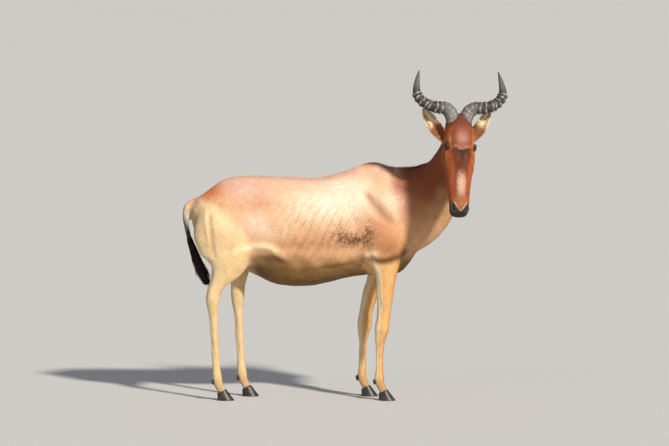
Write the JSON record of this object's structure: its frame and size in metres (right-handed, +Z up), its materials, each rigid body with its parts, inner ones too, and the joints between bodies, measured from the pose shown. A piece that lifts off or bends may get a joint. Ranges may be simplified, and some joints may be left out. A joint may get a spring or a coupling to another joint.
{
  "type": "hartebeest antelope",
  "caption": "Life-size still model of a Coke's hartebeest standing side-on, head turned to its right, with ringed bracket-shaped horns, a humped back and a tufted tail.",
  "frame": {"origin": "middle of the model's bounding box, at the floor under the hooves", "axes": "+Z up, the body points along +X, its left side towards +Y; the head is turned towards -Y"},
  "size_m": [1.6096, 0.6548, 1.6563],
  "materials": {
    "tawny": "short sandy coat, matt with a soft sheen",
    "rufous": "short red-brown coat, glossy on the face",
    "cream": "pale short coat of legs and ears",
    "black_hair": "long black hair of the tail's tuft",
    "horn": "ringed horn, worn smooth at the tips",
    "hoof": "dark horn with fine growth lines",
    "eye": "wet, polished"
  },
  "bodies": {
    "root": {"dewclaw_fore_left_inner": "hoof", "dewclaw_fore_left_outer": "hoof", "dewclaw_fore_right_inner": "hoof", "dewclaw_fore_right_outer": "hoof", "dewclaw_hind_left_inner": "hoof", "dewclaw_hind_left_outer": "hoof", "dewclaw_hind_right_inner": "hoof", "dewclaw_hind_right_outer": "hoof", "ear_left": "cream", "ear_right": "cream", "eye_left": "eye", "eye_right": "eye", "foreleg_left_foot": "cream", "foreleg_left_lower": "cream", "foreleg_left_upper": "tawny", "foreleg_right_foot": "cream", "foreleg_right_lower": "cream", "foreleg_right_upper": "tawny", "head": "rufous", "hindleg_left_foot": "cream", "hindleg_left_lower": "cream", "hindleg_left_upper": "tawny", "hindleg_right_foot": "cream", "hindleg_right_lower": "cream", "hindleg_right_upper": "tawny", "hoof_fore_left_inner": "hoof", "hoof_fore_left_outer": "hoof", "hoof_fore_right_inner": "hoof", "hoof_fore_right_outer": "hoof", "hoof_hind_left_inner": "hoof", "hoof_hind_left_outer": "hoof", "hoof_hind_right_inner": "hoof", "hoof_hind_right_outer": "hoof", "horn_left": "horn", "horn_right": "horn", "neck": "rufous", "tail": "tawny", "tail_tuft": "black_hair", "trunk": "tawny"}
  },
  "joints": []
}
